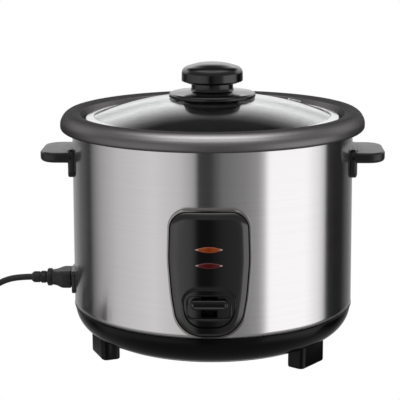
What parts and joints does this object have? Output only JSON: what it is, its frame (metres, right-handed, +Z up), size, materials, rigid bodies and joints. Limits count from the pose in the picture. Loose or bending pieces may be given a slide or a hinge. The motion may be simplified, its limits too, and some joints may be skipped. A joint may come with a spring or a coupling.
{
  "type": "rice cooker",
  "caption": "Drum rice cooker: brushed steel body on a black base with feet, lift-out pot, glass lid, side handles, lamp panel with cook key, detachable lead.",
  "frame": {"origin": "on the floor under the feet, on the axis of the drum", "axes": "+Z up; the control panel faces -Y; the handles and the power inlet lie along X, the inlet at -X"},
  "size_m": [0.424, 0.258, 0.246],
  "materials": {
    "brushed_steel": "brushed round the drum",
    "gloss_black": "gloss moulded phenolic",
    "satin_black": "satin moulded",
    "cord_black": "soft matt jacket",
    "pot_coating": "dark satin non-stick coating",
    "glass": "clear tempered",
    "lens_amber": "translucent amber",
    "lens_red": "translucent red",
    "cast_aluminium": "machined cast",
    "plated_steel": "zinc plated",
    "brass": "plain",
    "magnet": "ferrite",
    "switch_plastic": "moulded",
    "lamp_glass": "clear",
    "wire_sleeve": "silicone glass sleeve"
  },
  "bodies": {
    "cooker_body": {"outer_shell": "brushed_steel", "panel_trim": "brushed_steel", "base_cover": "gloss_black", "control_panel": "gloss_black", "foot_front_left": "satin_black", "foot_front_right": "satin_black", "foot_rear": "satin_black", "handle_left": "satin_black", "handle_right": "satin_black", "inlet_socket": "satin_black", "lens_amber": "lens_amber", "lens_red": "lens_red", "heating_plate": "cast_aluminium", "inner_shield": "cast_aluminium", "plate_posts": "cast_aluminium", "foot_screws": "plated_steel", "base_screws": "plated_steel", "handle_screws": "plated_steel", "inlet_screws": "plated_steel", "heating_element": "plated_steel", "thermostat_bracket": "plated_steel", "thermostat_housing": "plated_steel", "lever_bracket": "plated_steel", "lever_pin": "plated_steel", "keep_warm_thermostat": "plated_steel", "thermal_fuse": "plated_steel", "inlet_pins": "brass", "microswitch": "switch_plastic", "lamp_board": "switch_plastic", "lamp_bulbs": "lamp_glass", "internal_wires": "wire_sleeve"},
    "inner_pot": {"inner_pot": "pot_coating"},
    "lid": {"lid_glass": "glass", "lid_rim": "brushed_steel", "vent_eyelet": "brushed_steel", "knob_skirt": "gloss_black", "knob_cap": "gloss_black", "knob_washer": "gloss_black", "knob_screw": "plated_steel"},
    "cook_lever": {"cook_lever": "plated_steel", "switch_key": "gloss_black"},
    "magnet": {"magnet": "magnet"},
    "sensor_cap": {"sensor_cap": "cast_aluminium", "sensor_spring": "plated_steel"},
    "switch_plunger": {"microswitch_plunger": "switch_plastic"},
    "power_cord": {"cord_connector": "cord_black", "cord_boot": "cord_black", "cord_tube": "cord_black", "cord_tail": "cord_black", "cord_coil": "cord_black", "cord_tie": "cord_black", "plug_body": "cord_black", "plug_pins": "brass"}
  },
  "joints": [
    {"name": "pot_lift", "type": "slide", "parent": "cooker_body", "child": "inner_pot", "axis": [0, 0, 1], "range_m": [0, 0.16]},
    {"name": "lid_lift", "type": "slide", "parent": "inner_pot", "child": "lid", "axis": [0, 0, 1], "range_m": [0, 0.1]},
    {"name": "cook_lever_turn", "type": "hinge", "parent": "cooker_body", "child": "cook_lever", "pos_m": [0, -0.058, 0.03], "axis": [1, 0, 0], "range_deg": [0, 6.9], "stiffness_Nm_per_rad": 0.6, "springref_deg": -11.46},
    {"name": "magnet_lift", "type": "slide", "parent": "cooker_body", "child": "magnet", "axis": [0, 0, 1], "range_m": [0, 0.0071]},
    {"name": "sensor_press", "type": "slide", "parent": "cooker_body", "child": "sensor_cap", "axis": [0, 0, 1], "range_m": [-0.003, 0], "stiffness_N_per_m": 400, "springref_m": 0.004, "deforming": ["sensor_spring"]},
    {"name": "plunger_press", "type": "slide", "parent": "cooker_body", "child": "switch_plunger", "axis": [0, 0, 1], "range_m": [-0.0015, 0]},
    {"name": "cord_unplug", "type": "slide", "parent": "cooker_body", "child": "power_cord", "axis": [-1, 0, 0], "range_m": [0, 0.03]}
  ],
  "couplings": [
    {"joint": "magnet_lift", "follows": "cook_lever_turn", "m_per_rad": 0.058},
    {"joint": "plunger_press", "follows": "cook_lever_turn", "m_per_rad": -0.012}
  ]
}
